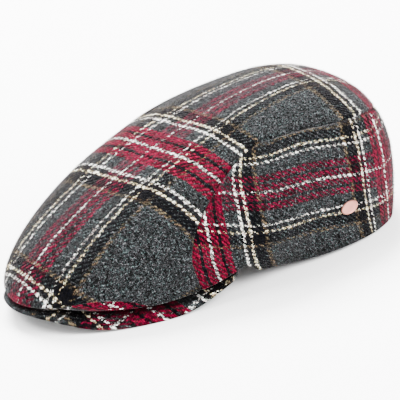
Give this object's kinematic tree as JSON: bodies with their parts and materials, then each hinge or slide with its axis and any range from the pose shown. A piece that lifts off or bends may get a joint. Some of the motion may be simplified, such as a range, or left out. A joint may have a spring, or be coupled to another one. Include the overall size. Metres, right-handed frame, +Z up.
{
  "type": "flat cap",
  "caption": "Duckbill flat cap in tartan wool cloth: one long top panel, side panels meeting at the back, short curved peak and a plain oval side plate.",
  "frame": {"origin": "bottom centre of the bounding box, on the plane that the cap rests on", "axes": "+Z up, the peak points towards -Y, the wearer's left is +X"},
  "size_m": [0.1822, 0.2944, 0.1029],
  "materials": {
    "crown_cloth": "brushed wool tartan, grey, red, dark and cream",
    "side_cloth": "brushed wool tartan, grey, red, dark and cream",
    "peak_cloth": "brushed wool tartan over a stiffener",
    "plate_metal": "satin rose gold"
  },
  "bodies": {
    "root": {"top_panel": "crown_cloth", "side_panel_left": "side_cloth", "side_panel_right": "side_cloth", "peak": "peak_cloth", "badge": "plate_metal"}
  },
  "joints": []
}
